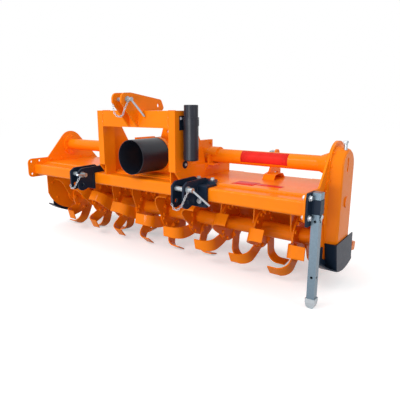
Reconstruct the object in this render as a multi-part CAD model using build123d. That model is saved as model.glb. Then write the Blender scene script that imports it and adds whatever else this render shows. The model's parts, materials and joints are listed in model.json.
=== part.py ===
"""Rotary tiller for a tractor's three-point linkage, 2.3 m wide, with a side gear drive.

Everything is drawn from the front beam: x from the machine's middle, y back from the beam's
front face and z up from its top face, in millimetres.  write() moves it to the floor frame.
"""
import os
from math import atan2, cos, degrees, hypot, pi, radians, sin, tan

from build123d import *

# ---------------------------------------------------------------- driving dimensions
WIDTH = 2300            # between the side plates' inner faces
BEAM = 80               # front beam's height, rectangular tube
BEAM_DEPTH = 100
BEAM_WALL = 8
BEAM_CORNER = 14
SHEET = 6               # deck sheet
SIDE = 10               # side plate thickness
ROTOR_Y, ROTOR_Z = 367, -291
TUBE_Y, TUBE_Z = 367, 141
TUBE_R = 44.45          # carrier tubes beside the gearbox
TUBE_WALL = 6.3
RUNNING = 0.05          # radial clearance of a shaft or pin that turns
SEAT = 0.2              # clearance of a piece that is dropped into another
SLIDING = 0.5           # clearance around the stand's square leg

DECK_LIP_Y = 88         # front edge of the deck, on the beam
DECK_REAR_Y = 590
DECK_FLANGE_TOP = 45

TINE_REACH = 262        # rotor axis to the floor, on which the legs' leading edges rest
TINE_SHEET = 8
TINE_BEND = 70          # outer radius of the bend from blade to leg
TINE_LEG = 126          # how far a leg reaches from its disc's middle
LEG_PITCH = 14          # degrees by which a leg's leading edge stands out
DISC_R = 125
DISC_SHEET = 12
DISC_PITCH = 247.5
ROTOR_SHIFT = -10       # middle disc, from the machine's middle
END_GAP = 12            # least room between the last leg and a side plate
DISCS = int((WIDTH - 2 * (TINE_LEG + END_GAP)) // DISC_PITCH) + 1
TINES_PER_DISC = 6
TINE_BOLT_R = 107       # circle of the tine bolts, two to a tine
DISC_TWIST = 12         # degrees from one disc to the next
FIRST_TINE = 45.6       # first left-hand tine of the first disc, round from upright
ROTOR_TUBE_R = 47.5
ROTOR_TUBE_WALL = 10
STUB_R = 27.5

HEAD_X = 336            # outer face of a headstock plate
HEAD_SHEET = 10
HEAD_FRONT = -12        # front of the folded posts
HEAD_TOP = 427
POST = 51
CROSS_BAR_Z = 325
CROSS_BAR_DEPTH = 72

HINGE_Y, HINGE_Z = 606, -3
HINGE_PIN_R = 8
KNUCKLE_R = 14
KNUCKLE_LENGTH = 60
HINGE_INSET = 150       # outer hinges, in from the side plates
HINGE_X = (HINGE_INSET - WIDTH / 2, -WIDTH / 6, WIDTH / 6, WIDTH / 2 - HINGE_INSET)
TAILBOARD_SHEET = 4

ROD_X = 690
ROD_R = 8
ROD_EYE_R = 17          # wide, because the rod tilts in it
ROD_EYE = (537, 160)
ROD_FOOT = (720, -150)

LINK_X = 455            # lower link brackets, each side of the middle
LINK_PIN_R = 14
LINK_PIN_Y, LINK_PIN_Z = -110, 0
LINK_HOLE = (-108, -72)
LINK_HOLE_R = 13
CLEVIS_GAP = 68
CLEVIS_SHEET = 12

TOP_LINK_X = 31         # inner faces of the top link plates
TOP_LINK_SHEET = 12
TOP_LINK_PIN_R = 12.5
TOP_LINK_PIN = (-101, 493)
TOP_LINK_REAR_HOLE = (178, 459)

LEG = 40                # square leg of the parking stand
LEG_WALL = 4
FOOT_HEIGHT = 58
STAND_Y = 22

LUG_BOLTS = ((-25, 24), (47, 27), (-25, -74))
LUG_BOLT_R = 9

FLOOR_Z = ROTOR_Z - TINE_REACH
FRAME_Y = 302           # the floor frame's origin, back from the beam's front face

HALF = WIDTH / 2
OUTER = HALF + SIDE
STAND_X = OUTER + 32
DECK_TOP = 2 * SHEET


# ---------------------------------------------------------------- drawing helpers
def box(x0, x1, y0, y1, z0, z1):
    """A box between two corners."""
    centre = Pos((x0 + x1) / 2, (y0 + y1) / 2, (z0 + z1) / 2)
    return centre * Box(x1 - x0, y1 - y0, z1 - z0)


def rod_x(radius, x0, x1, y, z):
    """A round bar along X."""
    return Pos((x0 + x1) / 2, y, z) * Rot(0, 90, 0) * Cylinder(radius, x1 - x0)


def rod_y(radius, y0, y1, x, z):
    """A round bar along Y."""
    return Pos(x, (y0 + y1) / 2, z) * Rot(90, 0, 0) * Cylinder(radius, y1 - y0)


def rod_z(radius, z0, z1, x, y):
    """A round bar along Z."""
    return Pos(x, y, (z0 + z1) / 2) * Cylinder(radius, z1 - z0)


def bar(radius, start, end):
    """A round bar between two points."""
    start, run = Vector(*start), Vector(*end) - Vector(*start)
    return Plane(origin=start, z_dir=run) * (Pos(0, 0, run.length / 2) * Cylinder(radius, run.length))


def disc(y, z, radius):
    """A disc in the fore-and-aft plane's own sketch, where sketch x is Y and sketch y is Z."""
    return Pos(y, z) * Circle(radius)


def rect(y0, y1, z0, z1):
    """A rectangle in the fore-and-aft sketch."""
    return Pos((y0 + y1) / 2, (z0 + z1) / 2) * Rectangle(y1 - y0, z1 - z0)


def outline(*corners):
    """A closed outline from rows of (y, z, corner radius)."""
    line = FilletPolyline(*[(y, z) for y, z, _ in corners],
                          radius=[r for _, _, r in corners], close=True)
    return make_face(line)


def hull(*circles):
    """The convex outline round some circles, from rows of (y, z, radius)."""
    edges = [edge for y, z, r in circles for edge in disc(y, z, r).edges()]
    return make_hull(edges)


def plate(sketch, x0, x1):
    """A fore-and-aft sketch given its thickness from x0 to x1."""
    return extrude(Pos(x0, 0, 0) * (Plane.YZ * sketch), x1 - x0)


def mirrored(shape):
    """The same piece on the machine's other side."""
    return mirror(shape, about=Plane.YZ)


def write(name, *solids):
    """Export a node: its solids, moved from the beam's frame to the floor frame."""
    pieces = [piece for shape in solids for piece in shape.solids()]
    shape = Pos(0, -FRAME_Y, -FLOOR_Z) * Compound(pieces)
    export_step(shape, f"parts/{name}.step")


# ---------------------------------------------------------------- front beam, deck and side plates
def front_beam():
    """Rectangular tube across the front, between the side plates."""
    def section(wall):
        deep, high = BEAM_DEPTH - wall, wall - BEAM
        corners = ((wall, -wall), (deep, -wall), (deep, high), (wall, high))
        return outline(*[(y, z, BEAM_CORNER - wall) for y, z in corners])
    write("front_beam", plate(section(0) - section(BEAM_WALL), -HALF, HALF))


DECK_STEP = ((DECK_LIP_Y, 0), (DECK_LIP_Y, SHEET), (BEAM_DEPTH + 4, SHEET), (BEAM_DEPTH + 16, DECK_TOP))


def deck():
    """Folded sheet from the beam to the tailboard's hinge, with turned-up ends and hinge knuckles."""
    top = [*DECK_STEP, (DECK_REAR_Y, DECK_TOP)]
    under = [(DECK_REAR_Y, SHEET), (BEAM_DEPTH + 18, SHEET), (BEAM_DEPTH + 6, 0)]
    sheet = plate(outline(*[(y, z, 0) for y, z in top + under]), -HALF, HALF)
    flange = box(HALF - SHEET, HALF, BEAM_DEPTH + 20, DECK_REAR_Y, DECK_TOP, DECK_FLANGE_TOP)
    shape = sheet + flange + mirrored(flange)
    for x in HINGE_X:
        arm = box(x - KNUCKLE_LENGTH / 2, x + KNUCKLE_LENGTH / 2, DECK_REAR_Y, HINGE_Y,
                  HINGE_Z - KNUCKLE_R + 4, DECK_TOP)
        knuckle = rod_x(KNUCKLE_R, x - KNUCKLE_LENGTH / 2, x + KNUCKLE_LENGTH / 2, HINGE_Y, HINGE_Z)
        shape += arm + knuckle
    for x in HINGE_X:
        shape -= rod_x(HINGE_PIN_R + RUNNING, x - KNUCKLE_LENGTH, x + KNUCKLE_LENGTH, HINGE_Y, HINGE_Z)
    write("deck", shape)


PLATE_ARC = (350, -160, 259)        # round lower edge of a side plate
PLATE_FRONT = 108
BEARING_HOLE_R = 62


def side_plate(top_radius):
    """Side plate outline: a lug ahead of the beam, a round top over the tube, a round foot."""
    body = hull((TUBE_Y, TUBE_Z, top_radius), (628, -16, 25), PLATE_ARC, (134, 38, 10))
    body &= rect(PLATE_FRONT, 700, -500, 400)
    lug = outline((-55, 48, 38), (134, 48, 0), (134, -100, 0), (-55, -100, 32))
    shape = body + lug - disc(ROTOR_Y, ROTOR_Z, BEARING_HOLE_R)
    for y, z in LUG_BOLTS:
        shape -= disc(y, z, LUG_BOLT_R)
    return shape


def side_plates():
    write("side_plate_left", plate(side_plate(112), -OUTER, -HALF))
    write("side_plate_right", plate(side_plate(130), HALF, OUTER))


# ---------------------------------------------------------------- headstock
HEAD_REAR_TOP = 88      # top of a headstock plate behind its post, under the tube


def headstock():
    """Two channel posts that run back over the deck as plates, and a folded bar across their tops."""
    edge = [(HEAD_FRONT, HEAD_TOP, 0), (95, HEAD_TOP, 60), (192, 322, 40), (262, 206, 60),
            (296, HEAD_REAR_TOP, 20), (DECK_REAR_Y, HEAD_REAR_TOP, 12), (DECK_REAR_Y, DECK_TOP, 0)]
    step = [(y, z, 0) for y, z in reversed(DECK_STEP)]
    web = plate(outline(*edge, *step, (45, 0, 0), (HEAD_FRONT, 68, 0)), HEAD_X - HEAD_SHEET, HEAD_X)
    inner = HEAD_X - POST
    back = HEAD_FRONT + HEAD_SHEET
    front = box(inner, HEAD_X, HEAD_FRONT, back, 68, HEAD_TOP)
    flange = box(inner, inner + 8, back, DECK_LIP_Y, 0, HEAD_TOP)
    top = box(inner, HEAD_X, back, DECK_LIP_Y, HEAD_TOP - HEAD_SHEET, HEAD_TOP)
    foot = outline((HEAD_FRONT, 66, 0), (170, 96, 4), (285, 96, 4), (285, DECK_TOP, 0), *step, (45, 0, 0))
    side = web + front + flange + top + plate(foot, HEAD_X, HEAD_X + 6)
    write("headstock_plate_right", side)
    write("headstock_plate_left", mirrored(side))

    end = HEAD_FRONT + CROSS_BAR_DEPTH
    bar_front = box(-inner, inner, HEAD_FRONT, back, CROSS_BAR_Z, HEAD_TOP)
    bar_top = box(-inner, inner, back, end, HEAD_TOP - HEAD_SHEET, HEAD_TOP)
    under = box(-inner, inner, back, end, CROSS_BAR_Z, CROSS_BAR_Z + HEAD_SHEET)
    write("headstock_cross_bar", bar_front + bar_top + under)


def top_link():
    """Two plates for the tractor's top link, welded to the cross bar, with their pin."""
    foot_y = HEAD_FRONT
    shape = outline((-146, 474, 10), (-146, 530, 36), (-66, 533, 20), (206, 496, 24), (230, 444, 12),
                    (216, HEAD_TOP, 6), (foot_y, HEAD_TOP, 0), (foot_y, 334, 0), (foot_y - 8, 332, 4))
    shape -= disc(*TOP_LINK_PIN, TOP_LINK_PIN_R + SEAT)
    shape -= disc(*TOP_LINK_REAR_HOLE, TOP_LINK_PIN_R + SEAT)
    one = plate(shape, TOP_LINK_X, TOP_LINK_X + TOP_LINK_SHEET)
    write("top_link_bracket", one, mirrored(one))

    y, z = TOP_LINK_PIN
    outer = TOP_LINK_X + TOP_LINK_SHEET
    pin = rod_x(TOP_LINK_PIN_R, -outer - 20, outer + 1, y, z) + rod_x(18, outer + 1, outer + 9, y, z)
    pin += rod_x(TOP_LINK_PIN_R, outer + 9, outer + 40, y, z)
    pin += bar(6, (outer + 33, y, z), (outer + 62, foot_y - 9, z - 99))
    write("top_link_pin", pin)


# ---------------------------------------------------------------- gearbox and carrier tubes
GEARBOX_X = 110
GEARBOX_FRONT, GEARBOX_REAR = 212, 478
GEARBOX_TOP = 214
TRUMPET_END = 253
FLANGE_SHEET = 12
FLANGE_HALF = 95
INPUT_Z = TUBE_Z - 2
INPUT_R = 17.45
INPUT_FREE = 92
FACE_R = 114
GUARD_R = 110
GUARD_WALL = 3
GUARD_FRONT = -45
FACE_FRONT = 200
LUG_Y, LUG_TOP = 328, 312           # lifting lug across the top of the gearbox


def gearbox():
    """Cast gearbox with side trumpets, square flanges, a front face for the guard and a lifting eye."""
    body = box(-GEARBOX_X, GEARBOX_X, GEARBOX_FRONT, GEARBOX_REAR, DECK_TOP, GEARBOX_TOP)
    body = fillet(body.edges().filter_by(Axis.X), 34)
    body = fillet(body.edges().group_by(Axis.Z)[-1], 12)
    foot = box(-GEARBOX_X - 20, GEARBOX_X + 20, GEARBOX_FRONT + 20, GEARBOX_REAR - 20, DECK_TOP, DECK_TOP + 14)
    trumpet = rod_x(62, -TRUMPET_END, TRUMPET_END, TUBE_Y, TUBE_Z)
    face = rod_y(FACE_R, FACE_FRONT, GEARBOX_FRONT + 10, 0, INPUT_Z)
    nose = rod_y(48, FACE_FRONT - 26, FACE_FRONT, 0, INPUT_Z)
    cover = rod_y(92, GEARBOX_REAR - 10, GEARBOX_REAR + 14, 0, INPUT_Z - 6)
    lid = box(-70, 70, 262, 430, GEARBOX_TOP - 4, GEARBOX_TOP + 8)
    shape = body + foot + trumpet + face + nose + cover + lid
    for end in (TRUMPET_END, -TRUMPET_END - FLANGE_SHEET):
        shape += box(end, end + FLANGE_SHEET, TUBE_Y - FLANGE_HALF, TUBE_Y + FLANGE_HALF,
                     TUBE_Z - FLANGE_HALF, TUBE_Z + FLANGE_HALF)
    shape -= rod_y(INPUT_R + 4 + RUNNING, FACE_FRONT - 30, FACE_FRONT + 60, 0, INPUT_Z)
    lug = make_face(Polyline((-80, GEARBOX_TOP), (-46, LUG_TOP), (46, LUG_TOP), (80, GEARBOX_TOP), close=True))
    lug -= Pos(0, LUG_TOP - 28) * Circle(14)
    shape += extrude(Pos(0, LUG_Y + 6, 0) * (Plane.XZ * lug), 12)
    write("gearbox", shape)

    guard = rod_y(GUARD_R, GUARD_FRONT, FACE_FRONT, 0, INPUT_Z)
    guard -= rod_y(GUARD_R - GUARD_WALL, GUARD_FRONT - 1, FACE_FRONT - GUARD_WALL, 0, INPUT_Z)
    guard -= rod_y(52, FACE_FRONT - 10, FACE_FRONT + 1, 0, INPUT_Z)
    write("pto_guard", guard)

    tip = FACE_FRONT - 26 - INPUT_FREE
    shaft = rod_y(INPUT_R, tip, FACE_FRONT - 26, 0, INPUT_Z)
    shaft -= rod_y(INPUT_R + 1, tip + 36, tip + 43, 0, INPUT_Z) - rod_y(INPUT_R - 2.8, tip, tip + 60, 0, INPUT_Z)
    journal = rod_y(INPUT_R + 4, FACE_FRONT - 26, FACE_FRONT + 58, 0, INPUT_Z)
    write("pto_shaft", shaft + journal)


BELL_LENGTH = 82        # flared end of the right tube
BELL_R = 63.5


def drive_tubes():
    """Carrier tubes from the gearbox to the side plates; the right one flares at the chain case."""
    start = TRUMPET_END + FLANGE_SHEET
    square = box(start, start + FLANGE_SHEET, TUBE_Y - FLANGE_HALF, TUBE_Y + FLANGE_HALF,
                 TUBE_Z - FLANGE_HALF, TUBE_Z + FLANGE_HALF)
    bore = rod_x(TUBE_R - TUBE_WALL, start - 1, HALF + 1, TUBE_Y, TUBE_Z)
    tube = rod_x(TUBE_R, start, HALF, TUBE_Y, TUBE_Z)
    end = rod_x(78, HALF - FLANGE_SHEET, HALF, TUBE_Y, TUBE_Z)
    write("drive_tube_left", mirrored(tube + square + end - bore))

    flare = BELL_LENGTH - 35
    middle = HALF - BELL_LENGTH + flare / 2
    cone = Pos(middle, TUBE_Y, TUBE_Z) * Rot(0, 90, 0) * Cone(TUBE_R, BELL_R, flare)
    housing = rod_x(BELL_R, HALF - 35, HALF, TUBE_Y, TUBE_Z)
    write("drive_tube_right", tube + square + cone + housing - bore)


SADDLE_X = 405          # outer end of a saddle
SADDLE_RIB = 352
STRAP = 12


def tube_saddles():
    """Shelves bolted on the headstock plates, each with a strap over its tube and a rib at each side."""
    shelf_z = TUBE_Z - TUBE_R - SEAT
    back = box(HEAD_X, HEAD_X + 10, TUBE_Y - 92, TUBE_Y + 92, 50, shelf_z)
    back -= box(HEAD_X, HEAD_X + 10, 0, 285, 0, 100)
    shelf = box(HEAD_X, SADDLE_X, TUBE_Y - 74, TUBE_Y + 74, shelf_z - 11, shelf_z)
    strap = disc(TUBE_Y, TUBE_Z, TUBE_R + STRAP) & rect(TUBE_Y - 80, TUBE_Y + 80, TUBE_Z + 8, TUBE_Z + 80)
    rib = rect(TUBE_Y - 70, TUBE_Y + 70, shelf_z, TUBE_Z + 10)
    saddle = back + shelf + plate(strap, HEAD_X + 3, SADDLE_X - 3) + plate(rib, SADDLE_RIB, SADDLE_RIB + 12)
    saddle -= rod_x(TUBE_R + SEAT, HEAD_X, SADDLE_X, TUBE_Y, TUBE_Z)
    write("tube_saddle_right", saddle)
    write("tube_saddle_left", mirrored(saddle))


def rod_posts():
    """Folded feet on the deck with an ear whose eye guides a tailboard rod."""
    top = [(389, DECK_TOP, 0), (414, 43, 10), (462, 50, 40), (521, 43, 10), (553, DECK_TOP, 0)]
    under = [(545, DECK_TOP, 0), (517, 38, 6), (462, 45, 40), (418, 38, 6), (397, DECK_TOP, 0)]
    hat = plate(outline(*top, *under), ROD_X + 10, ROD_X + 88)
    ear = hull((*ROD_EYE, 28), (446, 60, 4), (576, 60, 4)) + rect(553, DECK_REAR_Y, DECK_TOP, 60)
    ear += rect(436, 580, 47, 60)
    ear_plate = plate(ear, ROD_X + 26, ROD_X + 38) - hat
    lean = Rot(rod_lean(), 0, 0)
    eye = Pos(ROD_X, *ROD_EYE) * lean * (Cylinder(ROD_EYE_R + 8, 12) - Cylinder(ROD_EYE_R, 20))
    block = box(ROD_X + 14, ROD_X + 26, ROD_EYE[0] - 9, ROD_EYE[0] + 9, ROD_EYE[1] - 8, ROD_EYE[1] + 8)
    block -= Pos(ROD_X, *ROD_EYE) * lean * Cylinder(ROD_EYE_R + 7.9, 60)
    post = ear_plate + block + eye
    write("rod_foot_right", hat)
    write("rod_foot_left", mirrored(hat))
    write("rod_post_right", post)
    write("rod_post_left", mirrored(post))


def rod_lean():
    """How far a rod leans forward from upright, in degrees."""
    return degrees(atan2(ROD_FOOT[0] - ROD_EYE[0], ROD_EYE[1] - ROD_FOOT[1]))


# ---------------------------------------------------------------- side gear case
CASE_R = 117
CASE_DRAFT = 22
CASE_DEPTH = 59
CASE_EDGE = 7           # bevel round the cover's face
CASE_FLANGE = 6


def chain_case():
    """Side gear case: a drafted cover on a wide bolted flange, from the tube down to the rotor."""
    flange = hull((TUBE_Y, TUBE_Z, 130), (TUBE_Y, -60, 176), (ROTOR_Y, ROTOR_Z, 125))
    shape = plate(flange, OUTER, OUTER + CASE_FLANGE)
    ends = hull((TUBE_Y, TUBE_Z - 8, CASE_R), (ROTOR_Y, ROTOR_Z + 2, CASE_R))
    base = Pos(OUTER + CASE_FLANGE, 0, 0) * (Plane.YZ * ends)
    shape += extrude(base, CASE_DEPTH - CASE_EDGE, taper=CASE_DRAFT)
    slope = (CASE_DEPTH - CASE_EDGE) * tan(radians(CASE_DRAFT))
    rim = hull((TUBE_Y, TUBE_Z - 8, CASE_R - slope), (ROTOR_Y, ROTOR_Z + 2, CASE_R - slope))
    rim = Pos(OUTER + CASE_FLANGE + CASE_DEPTH - CASE_EDGE, 0, 0) * (Plane.YZ * rim)
    shape += extrude(rim, CASE_EDGE, taper=52)
    face = OUTER + CASE_FLANGE + CASE_DEPTH
    shape -= plate(hull((345, 122, 14), (345, 172, 14)), face - 3, face + 1)
    shape += rod_x(30, face, face + 6, 366, -57)
    shape -= rod_x(STUB_R + RUNNING, OUTER - 1, face - 14, ROTOR_Y, ROTOR_Z)
    write("chain_case", shape)
    plug = rod_z(9, 226, 262, face - 16, 338) + Pos(face - 16, 338, 262) * extrude(RegularPolygon(13, 6), 12)
    write("chain_case_plug", plug - shape)


# ---------------------------------------------------------------- rotor
def tine(side):
    """One L tine on its disc's face: a curved blade whose outer end is bent across as the leg."""
    inner = TINE_BEND - TINE_SHEET
    start = side * DISC_SHEET / 2
    leg = TINE_REACH - 10
    path = outline((start, -240, 0), (start, 0, TINE_BEND), (side * TINE_LEG, 0, 0),
                   (side * TINE_LEG, -TINE_SHEET, 0), (start + side * TINE_SHEET, -TINE_SHEET, inner),
                   (start + side * TINE_SHEET, -240, 0))
    section = Pos(0, 0, leg) * Rot(-LEG_PITCH, 0, 0) * extrude(Plane.XZ * path, 200, both=True)
    blade = extrude(Plane.YZ * blade_outline(), 200, both=True)
    tip_circle = TINE_REACH + 1.15
    return section & blade & rod_x(tip_circle, -200, 200, 0, 0)


def blade_outline():
    """The scimitar seen along the shaft: a root for two bolts, and a blade whose tip trails it."""
    half = 38
    top = TINE_REACH + 4
    trailing = ThreePointArc((half, top), (10, 186), (-10, 112))
    root = Polyline((-10, 112), (-22, 86), (-70, 48), (-98, 76))
    leading = ThreePointArc((-98, 76), (-77, 180), (-half, top))
    return make_face([trailing, *root.edges(), leading, Line((-half, top), (half, top))])


def rotor():
    """Shaft tube with nine discs and stub shafts, and six tines on each disc, bent to both sides.

    Right-hand tines stand a disc's twist ahead of the even spacing, and at rest two neighbouring
    left-hand and two right-hand tines stand on the floor.
    """
    reach = (DISCS - 1) / 2 * DISC_PITCH
    end = HALF - 30
    shaft = rod_x(ROTOR_TUBE_R, -end, end, 0, 0) - rod_x(ROTOR_TUBE_R - ROTOR_TUBE_WALL, -end, end, 0, 0)
    for x0, x1 in ((-end - 15, -end), (end, end + 15)):
        shaft += rod_x(80, x0, x1, 0, 0)
    shaft += rod_x(STUB_R, -OUTER - 62, -end - 10, 0, 0)
    shaft += rod_x(STUB_R, end + 10, OUTER + 46, 0, 0)
    right_tine, left_tine = tine(1), tine(-1)
    right_hand, left_hand = [], []
    for k in range(DISCS):
        x = k * DISC_PITCH - reach + ROTOR_SHIFT
        ring = rod_x(DISC_R, x - DISC_SHEET / 2, x + DISC_SHEET / 2, 0, 0)
        shaft += ring
        for n in range(TINES_PER_DISC):
            turn = FIRST_TINE + n * 360 / TINES_PER_DISC + k * DISC_TWIST
            if n % 2:
                right_hand.append(Pos(x, 0, 0) * Rot(turn + DISC_TWIST, 0, 0) * right_tine)
            else:
                left_hand.append(Pos(x, 0, 0) * Rot(turn, 0, 0) * left_tine)
    place = Pos(0, ROTOR_Y, ROTOR_Z)
    write("rotor_shaft", place * shaft)
    write("tines_right_hand", *[place * piece for piece in right_hand])
    write("tines_left_hand", *[place * piece for piece in left_hand])


def rotor_bearings():
    """Flanged bearing outside the left plate; a ring with its seal inside the right plate."""
    bore = STUB_R + RUNNING
    left = rod_x(88, -OUTER - 14, -OUTER, ROTOR_Y, ROTOR_Z)
    left += rod_x(BEARING_HOLE_R - SEAT, -OUTER, -HALF, ROTOR_Y, ROTOR_Z)
    left += rod_x(60, -OUTER - 54, -OUTER - 14, ROTOR_Y, ROTOR_Z)
    left += rod_x(42, -OUTER - 70, -OUTER - 54, ROTOR_Y, ROTOR_Z)
    left -= rod_x(bore, -OUTER - 64, 0, ROTOR_Y, ROTOR_Z)
    write("rotor_bearing_left", left)
    right = rod_x(85, HALF - 10, HALF, ROTOR_Y, ROTOR_Z)
    right += rod_x(BEARING_HOLE_R - SEAT, HALF, OUTER, ROTOR_Y, ROTOR_Z)
    write("rotor_bearing_right", right - rod_x(bore, HALF - 20, OUTER + 1, ROTOR_Y, ROTOR_Z))


# ---------------------------------------------------------------- tailboard
TAILBOARD_BENDS = ((HINGE_Y + 4, HINGE_Z - 9), (702, -200), (724, -330), (716, -430), (742, -436))


def tailboard():
    """Sheet that hangs behind the rotor on four hinges, with its rods."""
    half = HALF - 7
    t = TAILBOARD_SHEET
    toe_y, toe_z = TAILBOARD_BENDS[-1]
    inner = [(y - t, z) for y, z in TAILBOARD_BENDS[:-1]] + [(toe_y, toe_z - t)]
    sheet = plate(outline(*[(y, z, 0) for y, z in [*TAILBOARD_BENDS, *reversed(inner)]]), -half, half)
    arm_length = KNUCKLE_LENGTH / 2
    for x in HINGE_X:
        sheet -= box(x - arm_length - 1, x + arm_length + 1, 580, 640, HINGE_Z - 40, HINGE_Z + 34)
        for start in (x - 1 - 2 * arm_length, x + arm_length + 1):
            sheet += rod_x(KNUCKLE_R, start, start + arm_length, HINGE_Y, HINGE_Z)
    for x in HINGE_X:
        sheet -= rod_x(HINGE_PIN_R + RUNNING, x - 90, x + 90, HINGE_Y, HINGE_Z)
    for x in (-ROD_X, ROD_X):
        ear = hull((*ROD_FOOT, 18), (672, -120, 8), (694, -176, 8))
        for start in (x - 24, x + 14):
            ears = plate(ear, start, start + 10) - plate(disc(*ROD_FOOT, ROD_R + SEAT), x - 40, x + 40)
            sheet += ears
    write("tailboard", sheet)
    pins = [rod_x(HINGE_PIN_R, x - 62, x + 62, HINGE_Y, HINGE_Z) for x in HINGE_X]
    write("tailboard_hinge_pins", *pins)

    reach = hypot(ROD_EYE[0] - ROD_FOOT[0], ROD_EYE[1] - ROD_FOOT[1])
    long = reach + 17
    round_bar = Pos(0, 0, long / 2) * Cylinder(ROD_R, long) + Rot(0, 90, 0) * Cylinder(16, 26)
    collar = Pos(0, 0, 60) * Cylinder(20, 12)
    washer = Pos(0, 0, reach + 9) * Cylinder(21, 3.5)
    one = round_bar + collar + washer - Rot(0, 90, 0) * Cylinder(ROD_R + RUNNING, 60)
    rods = [Pos(x, *ROD_FOOT) * Rot(rod_lean(), 0, 0) * one for x in (-ROD_X, ROD_X)]
    write("tailboard_rods", *rods)
    write("tailboard_rod_pins", *[rod_x(ROD_R, x - 34, x + 34, *ROD_FOOT) for x in (-ROD_X, ROD_X)])


# ---------------------------------------------------------------- lower link brackets
def link_brackets():
    """Clamped on the beam and deck: a folded base, two clevis plates that run up over it, and a pin."""
    fold = outline((-14, -113, 0), (-14, DECK_TOP, 8), (DECK_LIP_Y - 16, DECK_TOP, 0), (DECK_LIP_Y - 6, 24, 0),
                   (158, 24, 0), (158, DECK_TOP, 0), (DECK_LIP_Y - 2, DECK_TOP, 0), (DECK_LIP_Y - 2, 0, 0),
                   (0, 0, 0), (0, -113, 0))
    ear = outline((-142, 20, 16), (-108, 42, 12), (70, 45, 14), (106, 18, 0), (60, 8, 0),
                  (-4, 8, 0), (-4, -109, 0), (-66, -98, 10), (-104, -112, 26), (-142, -104, 26))
    ear -= disc(LINK_PIN_Y, LINK_PIN_Z, LINK_PIN_R + SEAT) + disc(*LINK_HOLE, LINK_HOLE_R)
    inner = LINK_X - CLEVIS_GAP / 2 - CLEVIS_SHEET
    outer = LINK_X + CLEVIS_GAP / 2
    shape = plate(fold, inner, LINK_X + 110)
    shape += box(inner - 28, inner, DECK_LIP_Y - 2, 158, DECK_TOP, 24)
    corner = make_face(Polyline((LINK_X + 111, 74), (LINK_X + 111, 159), (LINK_X + 68, 159), close=True))
    shape -= Pos(0, 0, DECK_TOP - 1) * extrude(corner, 20)
    shape += box(outer + 10, outer + 50, -22, -14, -100, -54)
    for start in (inner, outer):
        shape += plate(ear, start, start + CLEVIS_SHEET)
    shape -= plate(disc(LINK_PIN_Y, LINK_PIN_Z, LINK_PIN_R + SEAT), inner, outer + CLEVIS_SHEET)
    write("link_bracket_right", shape)
    write("link_bracket_left", mirrored(shape))
    link_pin("right", LINK_X, -51.5)
    link_pin("left", -LINK_X, 170)


def link_pin(name, middle, turn):
    """A pin put in from the right: collar, neck and a slanted handle turned about the pin."""
    y, z = LINK_PIN_Y, LINK_PIN_Z
    end = middle + CLEVIS_GAP / 2 + CLEVIS_SHEET
    pin = rod_x(LINK_PIN_R, end - CLEVIS_GAP - 2 * CLEVIS_SHEET - 16, end + 1, y, z)
    pin += rod_x(19, end + 1, end + 9, y, z) + rod_x(LINK_PIN_R, end + 9, end + 40, y, z)
    side = 116 * cos(radians(turn))
    rise = 116 * sin(radians(turn))
    pin += bar(6, (end + 33, y, z), (end + 100, y + side, z + rise))
    write(f"link_pin_{name}", pin)


# ---------------------------------------------------------------- document tube
DOCUMENT_X, DOCUMENT_Y = 386, 77
DOCUMENT_R = 44.5


def document_tube():
    """Screw-capped document tube on the right headstock plate."""
    x, y = DOCUMENT_X, DOCUMENT_Y
    body = rod_z(DOCUMENT_R, 135, 378, x, y) + rod_z(DOCUMENT_R + 3, 340, 378, x, y)
    body = chamfer(body.edges().group_by(Axis.Z)[0], 5)
    body -= rod_z(DOCUMENT_R - 3, 139, 379, x, y)
    write("document_tube", body)
    grip = rod_z(DOCUMENT_R - 2.5, 380, 460, x, y)
    cap = chamfer(grip.edges().group_by(Axis.Z)[-1], 3) + rod_z(DOCUMENT_R + 3, 380, 389, x, y)
    cap += rod_z(DOCUMENT_R - 3.4, 360, 380, x, y)
    for n in range(12):
        turn = n * 2 * pi / 12
        cap -= rod_z(2.6, 393, 461, x + (DOCUMENT_R - 1.2) * cos(turn), y + (DOCUMENT_R - 1.2) * sin(turn))
    write("document_tube_cap", cap)
    spine_end = x - DOCUMENT_R - 3.5
    spine = plate(rect(78, 98, 107, 400) + rect(28, 78, 314, 397) + disc(81, 107, 24), HEAD_X, spine_end)
    for low, high in ((150, 190), (270, 318)):
        spine += box(HEAD_X, x - 30, 66, 94, low, high) - rod_z(DOCUMENT_R, low - 1, high + 1, x, y)
    write("document_tube_bracket", spine)


# ---------------------------------------------------------------- skids
RUNNER_ARC = (400, -53, 400)        # under side of both skids
RUNNER_SHEET = 8
RUNNER_FRONT, RUNNER_REAR = 150, 536


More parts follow.
